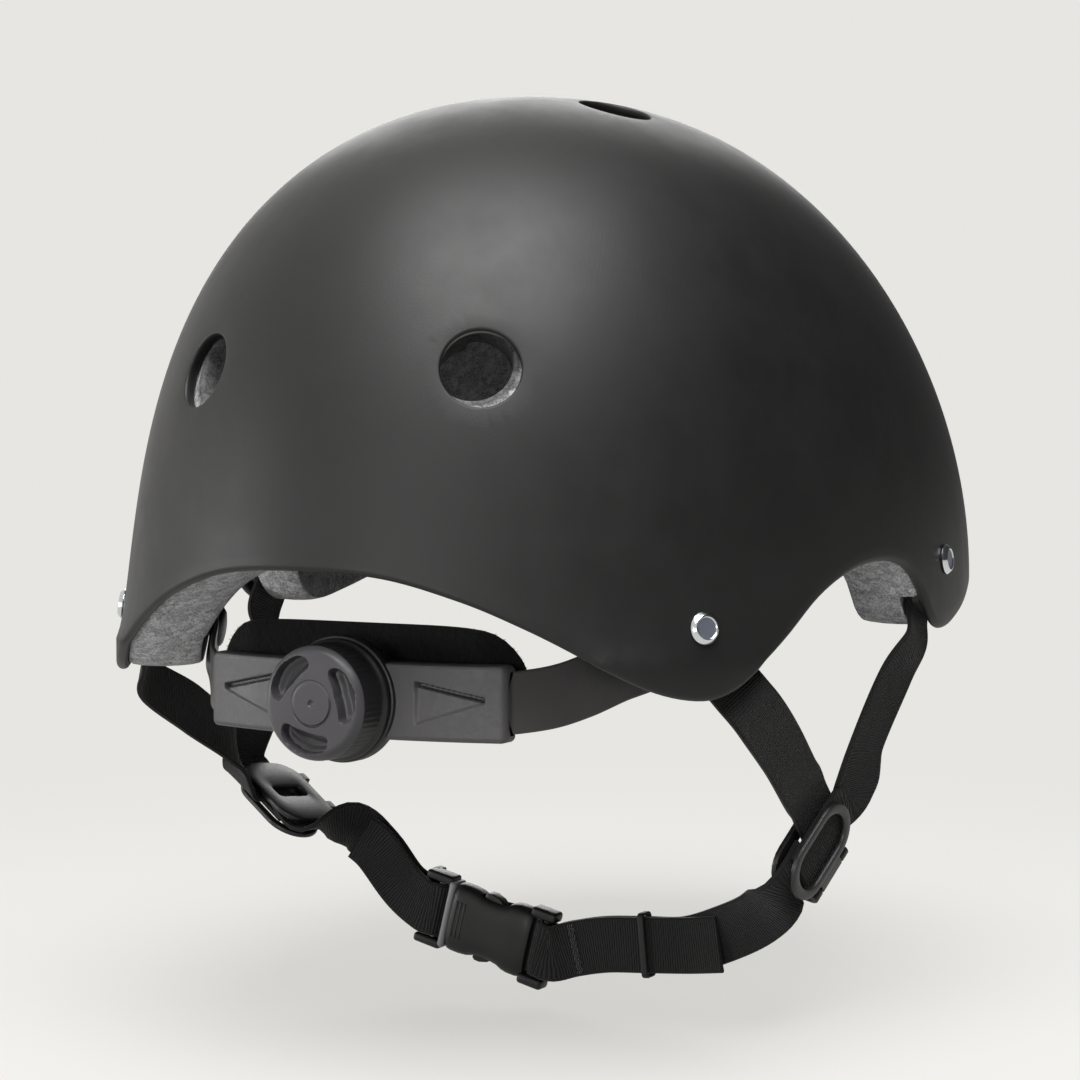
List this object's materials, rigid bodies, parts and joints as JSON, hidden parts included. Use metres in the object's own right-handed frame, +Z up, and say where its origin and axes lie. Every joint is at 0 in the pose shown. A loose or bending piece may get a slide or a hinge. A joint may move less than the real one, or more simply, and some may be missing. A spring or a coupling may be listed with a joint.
{
  "type": "skate helmet",
  "caption": "Round hard shell skate helmet with a foam liner, comfort pads, riveted webbing straps, a side release chin buckle and a turning fit dial at the nape.",
  "frame": {"origin": "middle of the head opening, level with the lowest edge of the shell", "axes": "-Y forward, +Y to the nape and the dial, +X to the wearer's left, +Z up to the crown"},
  "size_m": [0.2176, 0.2688, 0.2418],
  "materials": {
    "shell_plastic": "fine matte charcoal",
    "bead_foam": "grey beaded foam",
    "pad_cloth": "black knit over foam",
    "fleece": "black brushed fleece",
    "hook_loop": "dark grey loop tape",
    "rivet_metal": "bright bevelled rim, brushed middle",
    "screw_metal": "bright",
    "webbing": "black ribbed nylon webbing",
    "keeper_rubber": "black",
    "bar_metal": "dull grey",
    "dial_plastic": "satin dark grey",
    "gear_plastic": "natural white",
    "band_nylon": "satin dark grey",
    "fitting_plastic": "satin black"
  },
  "bodies": {
    "helmet": {"outer_shell": "shell_plastic", "foam_liner": "bead_foam", "crown_pad": "pad_cloth", "front_pad": "pad_cloth", "side_pad_left": "pad_cloth", "side_pad_right": "pad_cloth", "rear_pad": "pad_cloth", "pad_fasteners": "hook_loop", "strap_rivets": "rivet_metal", "rivet_washers": "screw_metal", "strap_tabs": "fitting_plastic", "strap_rear_left": "webbing", "strap_rear_right": "webbing", "strap_front_left": "webbing", "strap_front_right": "webbing", "divider_left": "fitting_plastic", "divider_right": "fitting_plastic", "chin_strap_left": "webbing", "chin_strap_right": "webbing", "buckle_female": "fitting_plastic", "band_left": "band_nylon", "band_right": "band_nylon", "band_plugs": "band_nylon"},
    "lid_left": {"divider_lid_left": "fitting_plastic"},
    "lid_right": {"divider_lid_right": "fitting_plastic"},
    "keeper": {"strap_keeper": "keeper_rubber"},
    "male": {"buckle_male": "fitting_plastic", "buckle_bar": "bar_metal"},
    "prong_top": {"prong_upper": "fitting_plastic"},
    "prong_bottom": {"prong_lower": "fitting_plastic"},
    "adjuster": {"dial_cover": "dial_plastic", "dial_back": "fitting_plastic", "nape_pad": "fleece"},
    "dial": {"dial_knob": "dial_plastic", "dial_pinion": "gear_plastic", "detent_spring": "gear_plastic", "dial_screw": "screw_metal"},
    "rack_l": {"rack_left": "band_nylon"},
    "rack_r": {"rack_right": "band_nylon"}
  },
  "joints": [
    {"name": "knob_turn", "type": "hinge", "parent": "adjuster", "child": "dial", "pos_m": [0, 0.11, -0.0008], "axis": [0, -1, 0], "range_deg": [-90, 90]},
    {"name": "adjuster_slide", "type": "slide", "parent": "helmet", "child": "adjuster", "axis": [0, -1, 0], "range_m": [-0.0094, 0.0094], "deforming": ["band_left", "band_right"]},
    {"name": "rack_left_slide", "type": "slide", "parent": "helmet", "child": "rack_l", "axis": [-0.6097, -0.7926, 0], "range_m": [-0.0118, 0.0118], "deforming": ["band_left"]},
    {"name": "rack_right_slide", "type": "slide", "parent": "helmet", "child": "rack_r", "axis": [0.6097, -0.7926, 0], "range_m": [-0.0118, 0.0118], "deforming": ["band_right"]},
    {"name": "lid_left_turn", "type": "hinge", "parent": "helmet", "child": "lid_left", "pos_m": [0.07946, 0.00082, -0.04493], "axis": [-0.8281, 0.2603, -0.4966], "range_deg": [0, 100]},
    {"name": "lid_right_turn", "type": "hinge", "parent": "helmet", "child": "lid_right", "pos_m": [-0.0825, 0.00342, -0.05209], "axis": [-0.2432, -0.6557, 0.7147], "range_deg": [0, 100]},
    {"name": "buckle_release", "type": "slide", "parent": "helmet", "child": "male", "axis": [0.9703, 0, 0.2419], "range_m": [0, 0.018], "deforming": ["chin_strap_left", "prong_upper", "prong_lower"]},
    {"name": "prong_upper_squeeze", "type": "hinge", "parent": "male", "child": "prong_top", "pos_m": [0.02523, 0.008, -0.06586], "axis": [0, -1, 0], "range_deg": [0, 8]},
    {"name": "prong_lower_squeeze", "type": "hinge", "parent": "male", "child": "prong_bottom", "pos_m": [0.02818, 0.008, -0.0777], "axis": [0, 1, 0], "range_deg": [0, 8]},
    {"name": "keeper_slide", "type": "slide", "parent": "helmet", "child": "keeper", "axis": [-0.9953, 0.0332, 0.0912], "range_m": [-0.006, 0.006]}
  ],
  "couplings": [
    {"joint": "adjuster_slide", "follows": "knob_turn", "m_per_rad": 0.00585},
    {"joint": "rack_left_slide", "follows": "knob_turn", "m_per_rad": 0.0073805},
    {"joint": "rack_right_slide", "follows": "knob_turn", "m_per_rad": 0.0073805}
  ]
}
